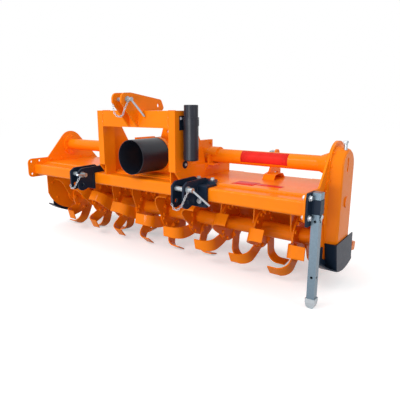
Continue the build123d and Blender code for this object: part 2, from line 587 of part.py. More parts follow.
def skids():
    """Runners under the side plates; the right one also boxes in the foot of the gear case."""
    cy, cz, radius = RUNNER_ARC
    above = disc(cy, cz, radius - RUNNER_SHEET)
    runner = (disc(cy, cz, radius) - above) & rect(RUNNER_FRONT, RUNNER_REAR, -500, -300)
    web = above - disc(PLATE_ARC[0], PLATE_ARC[1], PLATE_ARC[2] - 27)
    web = web & rect(RUNNER_FRONT + 6, RUNNER_REAR, -500, -300)
    web += above & rect(RUNNER_FRONT + 6, RUNNER_FRONT + 66, -460, -286)
    web -= arm()
    left = plate(runner, -OUTER - 66, -OUTER + 6)
    left += plate(web - disc(ROTOR_Y, ROTOR_Z, 95), -OUTER - 8, -OUTER)
    write("skid_left", left)
    flange = hull((TUBE_Y, TUBE_Z, 134), (TUBE_Y, -60, 180), (ROTOR_Y, ROTOR_Z, 129))
    shell = CASE_FLANGE + CASE_DEPTH + 2
    edge = OUTER + shell + 6
    clipped = make_face(Polyline((OUTER - 6, 149), (OUTER + 24, 149), (edge, 282), (edge, 800),
                                 (OUTER - 6, 800), close=True))
    right = plate(runner, OUTER - 6, edge) & (Pos(0, 0, -600) * extrude(clipped, 400))
    right += plate(web - flange, OUTER, OUTER + 8)
    wall = outline((236, -271, 4), (520, -264, 4), (RUNNER_REAR - 4, -460, 0), (282, -460, 0))
    right += plate(wall & disc(cy, cz, radius), OUTER + shell, OUTER + shell + 6)
    front = outline((236, -271, 0), (242, -271, 0), (288, -460, 0), (282, -460, 0))
    right += plate(front & disc(cy, cz, radius), OUTER + 8, OUTER + shell)
    write("skid_right", right)


LUG_HOLE = (762, -414)


def arm():
    """Side view of an arm for a rear roller, clear of the gear case."""
    y, z = LUG_HOLE
    shape = outline((452, -286, 20), (560, -322, 60), (y + 72, z - 2, 12), (y + 58, z - 56, 16),
                    (560, -416, 60), (455, -378, 20))
    return shape - disc(ROTOR_Y, ROTOR_Z, 127)


def rear_lugs():
    """Arms behind the side plates that carry a rear roller."""
    lug = plate(arm() - disc(*LUG_HOLE, 13), OUTER, OUTER + 12)
    for bolt in ((490, -366), (520, -335)):
        lug -= plate(disc(*bolt, 7), OUTER - 1, OUTER + 13)
    write("roller_lug_right", lug)
    write("roller_lug_left", mirrored(lug))


# ---------------------------------------------------------------- parking stand
def stand():
    """Square leg in a sleeve on a plate bolted to the right lug, with its foot, cap and pin."""
    plate_end = OUTER + 10
    back = plate(outline((-47, 50, 12), (54, 50, 12), (54, -118, 12), (-47, -118, 12)), OUTER, plate_end)
    for y, z in (LUG_BOLTS[0], LUG_BOLTS[2]):
        back -= plate(disc(y, z, LUG_BOLT_R), OUTER - 1, plate_end + 1)
    half = LEG / 2 + SLIDING
    wall = 4
    sleeve = box(plate_end, STAND_X + half + wall, STAND_Y - half - wall, STAND_Y + half + wall, -58, 13)
    sleeve -= box(STAND_X - half, STAND_X + half, STAND_Y - half, STAND_Y + half, -60, 15)
    write("stand_bracket", back + sleeve)
    inner = LEG / 2 - LEG_WALL
    foot_top = FLOOR_Z + FOOT_HEIGHT
    leg = box(STAND_X - LEG / 2, STAND_X + LEG / 2, STAND_Y - LEG / 2, STAND_Y + LEG / 2, foot_top, 40)
    leg -= box(STAND_X - inner, STAND_X + inner, STAND_Y - inner, STAND_Y + inner, foot_top - 1, 41)
    for z in (-70, -94, -382):
        leg -= rod_x(7, STAND_X - LEG, STAND_X + LEG, STAND_Y, z)
        leg -= rod_y(7, STAND_Y - LEG, STAND_Y, STAND_X, z) if z != -70 else rod_x(1, 0, 1, 0, 0)
    cap = box(STAND_X - LEG / 2, STAND_X + LEG / 2 + 3, STAND_Y - LEG / 2 - 3, STAND_Y + LEG / 2 + 3, 15, 49)
    write("stand_leg", leg + cap)
    side = 2 * (LEG / 2 + 5)
    foot = box(STAND_X - side / 2, STAND_X + side / 2, STAND_Y - side / 2, STAND_Y + side / 2,
               FLOOR_Z + 36, foot_top)
    foot += Pos(STAND_X, STAND_Y, FLOOR_Z + 36) * extrude(Rectangle(side, side), -22, taper=12)
    narrow = side - 2 * 22 * tan(radians(12))
    foot += Pos(STAND_X, STAND_Y, FLOOR_Z + 14) * extrude(Rectangle(narrow, narrow), -14, taper=38)
    write("stand_foot", foot)
    write("stand_pin", rod_x(6.8, STAND_X - LEG / 2, STAND_X + LEG / 2, STAND_Y, -70))


def main():
    os.makedirs("parts", exist_ok=True)
    front_beam()
    deck()
    side_plates()
    headstock()
    top_link()
    gearbox()
    drive_tubes()
    tube_saddles()
    rod_posts()
    chain_case()
    rotor()
    rotor_bearings()
    tailboard()
    link_brackets()
    document_tube()
    skids()
    rear_lugs()
    stand()


if __name__ == "__main__":
    main()
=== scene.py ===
"""Rotary tiller: paint, metal and plastic finishes, bolts, welds, chains and springs round the packed model.

The frame is the machine's own: x across it, y backwards from tractor to tailboard, z up from the floor,
in metres.  Places of fittings are written in millimetres from the machine's zero, the middle of the front
beam's upper front edge, and at() carries them into the frame.  New pieces are numpy surfaces: a profile
carried along a path, or a grid of two parameters.
"""
import json
from math import cos, pi, radians, sin

import bpy
import numpy as np
from mathutils import Euler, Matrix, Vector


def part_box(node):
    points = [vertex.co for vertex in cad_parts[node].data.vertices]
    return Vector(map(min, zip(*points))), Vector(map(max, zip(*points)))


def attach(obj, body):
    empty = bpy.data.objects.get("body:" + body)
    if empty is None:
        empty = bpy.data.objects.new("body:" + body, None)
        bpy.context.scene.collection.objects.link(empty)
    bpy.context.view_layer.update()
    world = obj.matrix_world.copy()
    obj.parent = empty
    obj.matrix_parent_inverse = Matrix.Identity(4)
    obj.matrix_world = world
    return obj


bl_info = {
    "name": "Rotary tiller",
    "version": (1, 0, 0),
    "blender": (4, 5, 0),
    "location": "View3D > Sidebar > Tiller",
    "description": "Finishes and fittings of a tractor's rotary tiller",
    "category": "Object",
}

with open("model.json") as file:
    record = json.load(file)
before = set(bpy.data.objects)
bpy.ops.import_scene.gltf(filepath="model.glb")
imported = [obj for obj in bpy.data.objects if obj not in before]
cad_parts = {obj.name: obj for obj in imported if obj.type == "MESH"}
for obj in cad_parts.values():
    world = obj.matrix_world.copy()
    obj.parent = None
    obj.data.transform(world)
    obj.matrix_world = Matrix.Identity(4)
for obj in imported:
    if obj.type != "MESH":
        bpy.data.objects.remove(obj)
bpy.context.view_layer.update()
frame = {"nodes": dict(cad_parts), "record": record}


# ---------------------------------------------------------------- settings
def colour_property(name, description, default):
    """A colour, in linear red, green and blue."""
    return bpy.props.FloatVectorProperty(name=name, description=description, subtype="COLOR", size=3,
                                         min=0.0, max=1.0, default=default)


def length_property(name, description, default):
    """A length in metres."""
    return bpy.props.FloatProperty(name=name, description=description, unit="LENGTH",
                                   min=0.0, default=default)


def angle_property(name, description, degrees):
    """An angle, whose default is given in degrees."""
    return bpy.props.FloatProperty(name=name, description=description, subtype="ANGLE",
                                   default=radians(degrees))


class TillerColours(bpy.types.PropertyGroup):
    """Colours of the finishes, the films and the floor"""
    orange: colour_property("Orange paint", "Paint of the frame, deck and rotor", (0.94, 0.222, 0.004))
    black: colour_property("Black paint", "Paint of brackets and skids", (0.011, 0.021, 0.04))
    plastic: colour_property("Black plastic", "Guard and document tube", (0.013, 0.016, 0.026))
    zinc: colour_property("Zinc", "Pins, rods, plug and foot", (0.4, 0.45, 0.48))
    galvanised: colour_property("Galvanised", "Stand leg, duller and bluer than the pins", (0.14, 0.2, 0.25))
    steel: colour_property("Bright steel", "Machined shaft, chains and plated bolts", (0.5, 0.52, 0.55))
    label: colour_property("Label film", "Plain films on the tube and deck", (0.72, 0.025, 0.018))
    floor: colour_property("Floor", "Floor that throws light back at the machine", (0.3, 0.3, 0.31))
    floor_seen: colour_property("Floor as seen", "What takes shadows on the seen floor", (0.97, 0.84, 0.82))
    floor_glow: colour_property("Floor glow", "What lights up the seen floor evenly", (0.32, 0.41, 0.425))


class TillerStageSizes(bpy.types.PropertyGroup):
    """Camera and floor"""
    camera_place: bpy.props.FloatVectorProperty(
        name="Camera place", description="Where the camera stands", subtype="TRANSLATION", unit="LENGTH",
        default=(1.8645, -2.1602, 0.9882))
    camera_down: angle_property("Camera tilt", "How far the camera looks down", 12.739)
    camera_turn: angle_property("Camera turn", "How far the camera looks to its left", 36.658)
    camera_lens: bpy.props.FloatProperty(
        name="Lens", description="Focal length on a 36 mm sensor, in millimetres", unit="CAMERA",
        default=36.73)
    camera_shift: bpy.props.FloatVectorProperty(
        name="Shift", description="Lens shift in frame widths", size=2, default=(0.0093, 0.0037))
    floor_side: length_property("Floor side", "Side of the square studio floor", 60.0)


class TillerBoltSizes(bpy.types.PropertyGroup):
    """Bolts and nuts"""
    tine_circle: length_property("Tine bolt circle", "Radius of the circle of the tine bolts", 0.107)
    tine_head: length_property("Tine bolt head", "Across the flats of a tine bolt's head", 0.022)
    frame_head: length_property("Painted head", "Across the flats of a painted bolt's head", 0.017)
    bright_head: length_property("Plated head", "Across the flats of a plated bolt's head", 0.022)


class TillerChainSizes(bpy.types.PropertyGroup):
    """Pin chains"""
    wire: length_property("Chain wire", "Radius of the chains' wire", 0.0016)
    link: length_property("Chain link", "Length of one link", 0.017)


class TillerWeldSizes(bpy.types.PropertyGroup):
    """Weld beads"""
    bead: length_property("Weld bead", "Radius of a weld bead", 0.003)


class TillerSpringSizes(bpy.types.PropertyGroup):
    """Springs on the tailboard's rods"""
    coil: length_property("Spring coil", "Middle radius of a rod spring", 0.0135)
    wire: length_property("Spring wire", "Radius of the spring wire", 0.002)
    length: length_property("Spring length", "Length of a rod spring", 0.11)
    turns: bpy.props.IntProperty(name="Turns", description="Turns of a rod spring", default=9, min=2)


class TillerSplineSizes(bpy.types.PropertyGroup):
    """Splines of the input shaft"""
    circle: length_property("Spline circle", "Radius on which the splines stand", 0.0163)
    rib: length_property("Spline rib", "Radius of a spline's rounded top", 0.0022)
    count: bpy.props.IntProperty(name="Splines", description="Splines round the shaft", default=6, min=3)


class TillerLabelSizes(bpy.types.PropertyGroup):
    """Plain films"""
    width: length_property("Tube film", "Length of the film along the carrier tube", 0.31)
    deck_width: length_property("Deck film", "Length of the larger film on the deck", 0.14)


# ---------------------------------------------------------------- materials
def shader_material(name, colour, roughness, metallic=0.0, coat=0.0, coat_roughness=0.1, specular=0.5):
    """A material with one principled shader, its plain numbers set on the shader's own sockets."""
    material = bpy.data.materials.new(name)
    material.use_nodes = True
    shader = material.node_tree.nodes["Principled BSDF"]
    shader.inputs["Base Color"].default_value = (*colour, 1.0)
    shader.inputs["Roughness"].default_value = roughness
    shader.inputs["Metallic"].default_value = metallic
    shader.inputs["Coat Weight"].default_value = coat
    shader.inputs["Coat Roughness"].default_value = coat_roughness
    shader.inputs["Specular IOR Level"].default_value = specular
    material.diffuse_color = (*colour, 1.0)
    return material, material.node_tree, shader


def object_noise(tree, scale, detail=3.0):
    """Noise over the object's own coordinates, scale patches to the metre."""
    place = tree.nodes.new("ShaderNodeTexCoord")
    noise = tree.nodes.new("ShaderNodeTexNoise")
    noise.inputs["Scale"].default_value = scale
    noise.inputs["Detail"].default_value = detail
    tree.links.new(place.outputs["Object"], noise.inputs["Vector"])
    return noise.outputs["Fac"]


def span(tree, factor, low, high):
    """A factor of 0 to 1 stretched to run from low to high."""
    node = tree.nodes.new("ShaderNodeMapRange")
    node.inputs["To Min"].default_value = low
    node.inputs["To Max"].default_value = high
    tree.links.new(factor, node.inputs["Value"])
    return node.outputs["Result"]


CLOUD_EDGES = (0.3, 0.7)        # noise at which a cloudy tone is at its darkest and its lightest


def cloudy_tone(tree, shader, colour, scale, dark, light):
    """Base colour in soft clouds, from a darker to a lighter shade of the same colour."""
    node = tree.nodes.new("ShaderNodeValToRGB")
    for element, position, shade in zip(node.color_ramp.elements, CLOUD_EDGES, (dark, light)):
        element.position = position
        element.color = (*(min(1.0, channel * shade) for channel in colour), 1.0)
    tree.links.new(object_noise(tree, scale), node.inputs["Fac"])
    tree.links.new(node.outputs["Color"], shader.inputs["Base Color"])


def uneven_gloss(tree, shader, scale, low, high):
    """Roughness that wanders between low and high."""
    tree.links.new(span(tree, object_noise(tree, scale, detail=2.0), low, high), shader.inputs["Roughness"])


def relief(tree, shader, scale, detail, depth):
    """Fine relief from noise, depth in metres."""
    node = tree.nodes.new("ShaderNodeBump")
    node.inputs["Distance"].default_value = depth
    tree.links.new(object_noise(tree, scale, detail), node.inputs["Height"])
    tree.links.new(node.outputs["Normal"], shader.inputs["Normal"])


def paint(name, colour, roughness):
    """Sprayed gloss paint: faint cloudy tone, soft orange-peel relief, a clear coat."""
    material, tree, shader = shader_material(name, colour, roughness, coat=0.15, coat_roughness=0.06,
                                             specular=0.05)
    cloudy_tone(tree, shader, colour, scale=5.0, dark=0.94, light=1.05)
    uneven_gloss(tree, shader, scale=38.0, low=roughness - 0.06, high=roughness + 0.08)
    relief(tree, shader, scale=420.0, detail=1.0, depth=0.00012)
    return material


def metal(name, colour, roughness):
    """Zinc-plated or machined steel: bright, with a soft mottled bloom."""
    material, tree, shader = shader_material(name, colour, roughness, metallic=0.7)
    cloudy_tone(tree, shader, colour, scale=90.0, dark=0.92, light=1.06)
    uneven_gloss(tree, shader, scale=140.0, low=roughness - 0.08, high=roughness + 0.04)
    relief(tree, shader, scale=300.0, detail=3.0, depth=0.0001)
    return material


def moulded(name, colour, roughness):
    """Moulded polyethylene: nearly black, softly grained."""
    material, tree, shader = shader_material(name, colour, roughness, specular=0.3)
    cloudy_tone(tree, shader, colour, scale=9.0, dark=0.85, light=1.2)
    relief(tree, shader, scale=700.0, detail=2.0, depth=0.00015)
    return material


def film(name, colour, roughness):
    """A printed film without words: a faintly uneven tone and a little gloss."""
    material, tree, shader = shader_material(name, colour, roughness, specular=0.05)
    cloudy_tone(tree, shader, colour, scale=14.0, dark=0.9, light=1.15)
    return material


# finish: what makes it, its colour setting, its roughness
FINISHES = {
    "orange_paint": (paint, "orange", 0.34),
    "black_paint": (paint, "black", 0.4),
    "black_plastic": (moulded, "plastic", 0.34),
    "zinc": (metal, "zinc", 0.38),
    "galvanised": (metal, "galvanised", 0.38),
    "bright_steel": (metal, "steel", 0.38),
    "label": (film, "label", 0.35),
}


def finish(kind):
    """The material of a finish, made on first use."""
    name = "tiller_" + kind
    if name in bpy.data.materials:
        return bpy.data.materials[name]
    make, setting, roughness = FINISHES[kind]
    return make(name, getattr(bpy.context.scene.tiller_colours, setting), roughness)


# ---------------------------------------------------------------- places on the machine
ROTOR = (367, -291)             # the rotor's axis, as (y, z)
TUBE = (367, 141)               # the carrier tubes' axis
ALONG_X, ALONG_Y, ALONG_Z = (1, 0, 0), (0, 1, 0), (0, 0, 1)
AGAINST_X, AGAINST_Y = (-1, 0, 0), (0, -1, 0)


def datum():
    """Machine's zero: middle of the front beam's upper front edge."""
    low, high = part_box("front_beam")
    return np.array([(low[0] + high[0]) / 2, low[1], high[2]])


def at(points):
    """Places in millimetres from the machine's zero, as metres in the frame."""
    return datum() + np.asarray(points, float) / 1000


def mm(metres):
    """A size from the settings in the millimetres of the places."""
    return metres * 1000


def mirrored(places):
    """The same places, or directions, on the other side of the machine."""
    return np.asarray(places, float) * (-1, 1, 1)


def ring(x, y, z, radius, count, start=0.0):
    """Places evenly round a circle that faces along x: its middle plus radius times cos in y and sin in z."""
    angle = start + np.arange(count) * 2 * pi / count
    return np.stack([np.full(count, x), y + radius * np.cos(angle), z + radius * np.sin(angle)], axis=-1)


# ---------------------------------------------------------------- forms
# profiles are rows of (radius, height), in metres
SINK = 0.0002                   # how far a fitting sinks into what it sits on
WASHER_BEVEL = 0.0006


def unit(vectors):
    """Each vector at length 1."""
    return vectors / np.linalg.norm(vectors, axis=-1, keepdims=True)


def quads(rows, columns, around=False, along=False):
    """Corner numbers of a grid's quads; around and along close its columns and rows on themselves."""
    i = np.arange(rows if along else rows - 1)
    j = np.arange(columns if around else columns - 1)
    a, b = np.meshgrid(i, j, indexing="ij")
    c, d = (a + 1) % rows, (b + 1) % columns
    corners = [a * columns + b, a * columns + d, c * columns + d, c * columns + b]
    return np.stack(corners, axis=-1).reshape(-1, 4)


def lids(rows, sides):
    """The two faces that close a tube made of rows rings, the first one turned over to face outwards."""
    first = np.arange(sides)
    return [first[::-1].tolist(), (first + (rows - 1) * sides).tolist()]


def turned(profile, sides):
    """A turned form round z with both ends closed, from a profile of (radius, height).

    At angle a and row i the point is (radius_i cos a, radius_i sin a, height_i).
    """
    profile = np.asarray(profile, float)
    angle = np.linspace(0, 2 * pi, sides, endpoint=False)
    radius, height = profile[:, :1], profile[:, 1:]
    grid = np.stack([radius * np.cos(angle), radius * np.sin(angle), height + 0 * angle], axis=-1)
    return grid.reshape(-1, 3), quads(len(profile), sides, around=True).tolist() + lids(len(profile), sides)


def swept(path, radius, sides=8, closed=False):
    """A rod along a path: each path point carries a circle of its own radius in the plane across the path.

    The circle's first axis is the path's direction crossed with the frame's axis along which the path
    spreads least, and its second axis is the direction crossed with the first.
    """
    path = np.asarray(path, float)
    if closed:
        run = unit(np.roll(path, -1, axis=0) - np.roll(path, 1, axis=0))
    else:
        run = unit(np.gradient(path, axis=0))
    spread = path.max(axis=0) - path.min(axis=0)
    first = unit(np.cross(run, np.eye(3)[np.argmin(spread)]))
    second = np.cross(run, first)
    angle = np.linspace(0, 2 * pi, sides, endpoint=False)[:, None]
    circle = first[:, None] * np.cos(angle) + second[:, None] * np.sin(angle)
    radius = np.broadcast_to(np.asarray(radius, float), len(path))[:, None, None]
    grid = path[:, None] + radius * circle
    faces = quads(len(path), sides, around=True, along=closed).tolist()
    return grid.reshape(-1, 3), faces if closed else faces + lids(len(path), sides)


def flat_grid(left, right, front, back, height, rows, columns):
    """A level grid: x runs from left to right along a row, y from front to back, z is the height."""
    y, x = np.meshgrid(np.linspace(front, back, rows), np.linspace(left, right, columns), indexing="ij")
    return np.stack([x, y, np.full_like(x, height)], axis=-1)


def slab(upper, lower):
    """A thin closed sheet between two grids of the same shape, walled along their outer edge."""
    rows, columns, _ = upper.shape
    count = rows * columns
    corner = np.arange(count).reshape(rows, columns)
    edge = np.concatenate([corner[0], corner[1:, -1], corner[-1, -2::-1], corner[-2:0:-1, 0]])
    after = np.roll(edge, -1)
    top = quads(rows, columns)
    walls = np.stack([edge, edge + count, after + count, after], axis=-1)
    faces = top.tolist() + (top[:, ::-1] + count).tolist() + walls.tolist()
    return np.concatenate([upper.reshape(-1, 3), lower.reshape(-1, 3)]), faces


def merged(forms):
    """Several forms as one: each form's corner numbers are moved up by the points before it."""
    faces, start = [], 0
    for points, own_faces in forms:
        faces += [[corner + start for corner in face] for face in own_faces]
        start += len(points)
    return np.concatenate([points for points, _ in forms]), faces


def placed(form, turns, places):
    """A form set at each place in metres, by a turn whose rows are the form's x, y and z there."""
    points, faces = form
    moved = np.einsum("pk,nkj->npj", points, turns) + places[:, None]
    stacked = [[corner + n * len(points) for corner in face] for n in range(len(places)) for face in faces]
    return moved.reshape(-1, 3), stacked


def copies(form, places, axes, spins=0.0):
    """The same form stood at many places, its z along each axis and turned about it by each spin."""
    places = np.atleast_2d(at(places))
    axis = unit(np.broadcast_to(np.asarray(axes, float), (len(places), 3)))
    upright = np.abs(axis[:, 2:]) > 0.9
    first = unit(np.cross(np.where(upright, ALONG_X, ALONG_Z), axis))
    second = np.cross(axis, first)
    spin = np.broadcast_to(np.asarray(spins, float), len(places))[:, None]
    across = np.cos(spin) * first + np.sin(spin) * second
    return placed(form, np.stack([across, np.cross(axis, across), axis], axis=1), places)


def pairs(form, places, axis):
    """Copies at places on the machine's right side, and at their mirror images on its left."""
    return copies(form, np.vstack([places, mirrored(places)]),
                  np.repeat([axis, mirrored(axis)], len(places), axis=0))


def join(name, forms, material, body, smooth=True):
    """One mesh of several forms that rides on a body."""
    if not forms:
        raise RuntimeError(f"{name} has no form")
    points, faces = merged(forms)
    mesh = bpy.data.meshes.new(name)
    mesh.from_pydata(points, [], faces)
    mesh.polygons.foreach_set("use_smooth", np.full(len(mesh.polygons), smooth))
    mesh.materials.append(material)
    thing = bpy.data.objects.new(name, mesh)
    bpy.context.scene.collection.objects.link(thing)
    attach(thing, body)


def corner_radius(across):
    """A hexagon's radius to its corners, from its width across the flats."""
    return across / 2 / cos(pi / 6)


def bolt(across, height, washer=0.0, sheet=0.0):
    """A hexagon head bevelled on top, on a washer of its own radius and thickness where there is one."""
    corner = corner_radius(across)
    head = turned([(corner, sheet - SINK), (corner, sheet + height * 0.8),
                   (corner * 0.82, sheet + height)], sides=6)
    if not washer:
        return head
    plate = turned([(washer, -SINK), (washer, sheet * 0.7), (washer - WASHER_BEVEL, sheet)], sides=20)
    return merged([plate, head])


def nut(across, height, stud):
    """A hexagon nut with the end of its bolt, of radius stud, standing out of it."""
    corner = corner_radius(across)
    hexagon = turned([(corner * 0.9, -SINK), (corner, height * 0.15), (corner, height * 0.85),
                      (corner * 0.86, height)], sides=6)
    end = turned([(stud, height * 0.8), (stud, height + 0.0035), (stud * 0.8, height + 0.0045)], sides=12)
    return merged([hexagon, end])


LINK_STEP = 0.72                # from link to link, as a share of a link's length
LINK_HALF_WIDTH = 0.3           # half the width of a link's middle line, as a share of its length
LINK_POWER = 0.7                # of the cosine, under 1 for straight long sides
LINK_ROWS = 10                  # points along a link's middle line
OFF_AXIS = (0.31, 0.77, 0.55)   # a direction that no chain runs along


def chain(path, wire, link):
    """Oval wire links along a path, every second one turned a quarter.

    Each link's middle line is (half length times cos a, half width times sin a), where the size of
    cos a is raised to a power under 1, so that its long sides are straight.
    """
    steps = np.concatenate([[0], np.cumsum(np.linalg.norm(np.diff(path, axis=0), axis=1))])
    count = max(2, int(steps[-1] / (link * LINK_STEP)))
    stops = np.linspace(0, steps[-1], count + 1)
    knots = np.stack([np.interp(stops, steps, values) for values in path.T], axis=1)
    run = unit(knots[1:] - knots[:-1])
    side = unit(np.cross(run, OFF_AXIS))
    odd = (np.arange(count) % 2)[:, None]
    across = np.where(odd, side, np.cross(run, side))
    turns = np.stack([run, across, np.cross(run, across)], axis=1)
    angle = np.linspace(0, 2 * pi, LINK_ROWS, endpoint=False)
    squared = np.sign(np.cos(angle)) * np.abs(np.cos(angle)) ** LINK_POWER
    oval = np.stack([link / 2 * squared, link * LINK_HALF_WIDTH * np.sin(angle), 0 * angle], axis=1)
    return placed(swept(oval, wire, sides=6, closed=True), turns, (knots[1:] + knots[:-1]) / 2)


BEAD_STEP = 0.0018              # between the rings of a weld bead, in metres
BEAD_END = 0.4                  # radius at a bead's ends, as a share of its own
RIPPLE_PITCH = 0.0042           # from ripple to ripple, in metres
RIPPLE_DEPTH = 0.1              # as a share of the bead's radius


def weld(start, end, radius):
    """A weld bead between two places: a half-sunk rod, its radius times 1 + depth sin(2 pi way / pitch)."""
    start, end = at(start), at(end)
    reach = np.linalg.norm(end - start)
    way = np.linspace(0, 1, max(8, int(reach / BEAD_STEP)))
    radii = radius * (1 + RIPPLE_DEPTH * np.sin(way * reach / RIPPLE_PITCH * 2 * pi))
    radii[[0, -1]] = radius * BEAD_END
    return swept(start + way[:, None] * (end - start), radii, sides=7)


def soft_path(knots, rows):
    """A smooth path through a few places, by a cubic through each neighbouring four."""
    knots = at(knots)
    full = np.vstack([2 * knots[0] - knots[1], knots, 2 * knots[-1] - knots[-2]])
    way = np.linspace(0, len(knots) - 1, rows)
    n = np.minimum(way.astype(int), len(knots) - 2)
    f = (way - n)[:, None]
    a, b, c, d = full[n], full[n + 1], full[n + 2], full[n + 3]
    return (2 * b + (c - a) * f + (2 * a - 5 * b + 4 * c - d) * f ** 2
            + (3 * b - a - 3 * c + d) * f ** 3) / 2


# ---------------------------------------------------------------- stage and finishes
# name, place in metres, turn in degrees, size in metres, power in watts
LAMPS = (
    ("key_lamp", (-0.9, -3.5, 3.4), (51, 0, -14), (2.6, 1.6), 78),
    ("low_lamp", (1.0, -4.0, 0.7), (86, 0, 14), (2.0, 0.6), 58),
    ("side_lamp", (4.6, -0.6, 2.2), (68, 0, 82), (2.4, 2.0), 20),
    ("top_lamp", (0.2, 0.6, 4.2), (0, 0, 0), (3.6, 2.4), 18),
)
WORLD_LIGHT, WORLD_SEEN = 0.7, 1.0      # strength of the surroundings as a light, and as they are seen
SENSOR_WIDTH, CAMERA_REACH = 36.0, 60   # in millimetres, and how far the camera sees in metres


def seen_directly(tree):
    """1 for camera, glossy and transmitted rays, 0 for the rays that carry light to matt surfaces."""
    path = tree.nodes.new("ShaderNodeLightPath")
    seen = path.outputs["Is Camera Ray"]
    for ray in ("Is Glossy Ray", "Is Transmission Ray"):
        larger = tree.nodes.new("ShaderNodeMath")
        larger.operation = "MAXIMUM"
        tree.links.new(seen, larger.inputs[0])
        tree.links.new(path.outputs[ray], larger.inputs[1])
        seen = larger.outputs[0]
    return seen


def studio_floor(colours):
    """Matt grey floor; seen directly it is paler, a white that keeps the machine's shadow."""
    material, tree, shader = shader_material("studio_floor", colours.floor, 0.95, specular=0.0)
    nodes, links = tree.nodes, tree.links
    glow = nodes.new("ShaderNodeEmission")
    glow.inputs["Color"].default_value = (*colours.floor_glow, 1.0)
    matt = nodes.new("ShaderNodeBsdfDiffuse")
    matt.inputs["Color"].default_value = (*colours.floor_seen, 1.0)
    paler = nodes.new("ShaderNodeAddShader")
    links.new(glow.outputs[0], paler.inputs[0])
    links.new(matt.outputs[0], paler.inputs[1])
    choice = nodes.new("ShaderNodeMixShader")
    links.new(seen_directly(tree), choice.inputs["Fac"])
    links.new(shader.outputs[0], choice.inputs[1])
    links.new(paler.outputs[0], choice.inputs[2])
    links.new(choice.outputs[0], nodes["Material Output"].inputs["Surface"])
    return material


def studio_world():
    """White surroundings where they are seen directly, and a plain soft light for the rest."""
    world = bpy.data.worlds.new("studio")
    world.use_nodes = True
    tree = world.node_tree
    background = tree.nodes["Background"]
    background.inputs["Color"].default_value = (1, 1, 1, 1)
    strength = span(tree, seen_directly(tree), WORLD_LIGHT, WORLD_SEEN)
    tree.links.new(strength, background.inputs["Strength"])
    return world


def stage_surface(name, grid, material):
    """A staged mesh of a grid."""
    mesh = bpy.data.meshes.new(name)
    mesh.from_pydata(grid.reshape(-1, 3), [], quads(*grid.shape[:2]).tolist())
    mesh.materials.append(material)
    thing = bpy.data.objects.new(name, mesh)
    bpy.context.scene.collection.objects.link(thing)


class TILLER_OT_stage(bpy.types.Operator):
    """Pale floor, soft lamps, white surroundings and the camera"""
    bl_idname = "tiller.stage"
    bl_label = "Stage"

    def execute(self, context):
        scene = context.scene
        sizes = scene.tiller_stage
        scene.view_settings.view_transform = "Standard"

        camera = bpy.data.objects.new("camera", bpy.data.cameras.new("camera"))
        camera.location = sizes.camera_place
        camera.rotation_euler = Euler((pi / 2 - sizes.camera_down, 0, sizes.camera_turn))
        camera.data.lens = sizes.camera_lens
        camera.data.sensor_width = SENSOR_WIDTH
        camera.data.shift_x, camera.data.shift_y = sizes.camera_shift
        camera.data.clip_end = CAMERA_REACH
        scene.collection.objects.link(camera)
        scene.camera = camera

        edge = sizes.floor_side / 2
        floor = flat_grid(-edge, edge, -edge, edge, height=0.0, rows=2, columns=2)
        stage_surface("studio_floor", floor, studio_floor(scene.tiller_colours))

        for name, place, turn, size, power in LAMPS:
            lamp = bpy.data.lights.new(name, "AREA")
            lamp.shape = "RECTANGLE"
            lamp.size, lamp.size_y = size
            lamp.energy = power
            thing = bpy.data.objects.new(name, lamp)
            thing.location = place
            thing.rotation_euler = Euler([radians(angle) for angle in turn])
            scene.collection.objects.link(thing)
        scene.world = studio_world()
        return {"FINISHED"}


class TILLER_OT_finishes(bpy.types.Operator):
    """Every packed node gets the finish of its record slot; the stand's leg is the duller zinc"""
    bl_idname = "tiller.finishes"
    bl_label = "Finishes"

    def execute(self, context):
        slots = {row["node"]: row["material_slot"] for row in frame["record"]["subparts"]}
        for node, thing in frame["nodes"].items():
            if node not in slots:
                raise RuntimeError(f"the record gives {node} no material slot")
            thing.data.materials.clear()
            thing.data.materials.append(finish("galvanised" if node == "stand_leg" else slots[node]))
        return {"FINISHED"}


# ---------------------------------------------------------------- bolts
DISCS = 9
DISC_PITCH = 247.5
FIRST_DISC_X = -1000            # the leftmost disc's middle
TINES_PER_HAND = 3              # on each disc
FIRST_TINE = 135.6              # degrees of the first disc's first left-hand tine, from backwards round to up
DISC_TWIST = 12                 # degrees from disc to disc
TINE_HANDS = ((0, 6), (72, 14))         # degrees that a hand leads by, and its bolt heads' x from the disc
TINE_BOLT_TURNS = (15, 45)              # degrees from a tine to its two bolts
TINE_GRIP = 20                          # disc and tine together, between a bolt's head and its nut


def tine_bolt_places(circle):
    """Places of the bolt heads, and each bolt's angle round the rotor: tine by tine, disc by disc."""
    disc, tine = np.meshgrid(np.arange(DISCS), np.arange(TINES_PER_HAND), indexing="ij")
    disc, tine = disc.reshape(-1), tine.reshape(-1)
    places, angles = [], []
    for lead, face in TINE_HANDS:
        for turn in TINE_BOLT_TURNS:
            angle = np.radians(FIRST_TINE + DISC_TWIST * disc + 360 / TINES_PER_HAND * tine + lead + turn)
            x = FIRST_DISC_X + DISC_PITCH * disc + face
            y, z = ROTOR[0] + circle * np.cos(angle), ROTOR[1] + circle * np.sin(angle)
            places.append(np.stack([x, y, z], axis=-1))
            angles.append(angle)
    return np.concatenate(places), np.concatenate(angles)


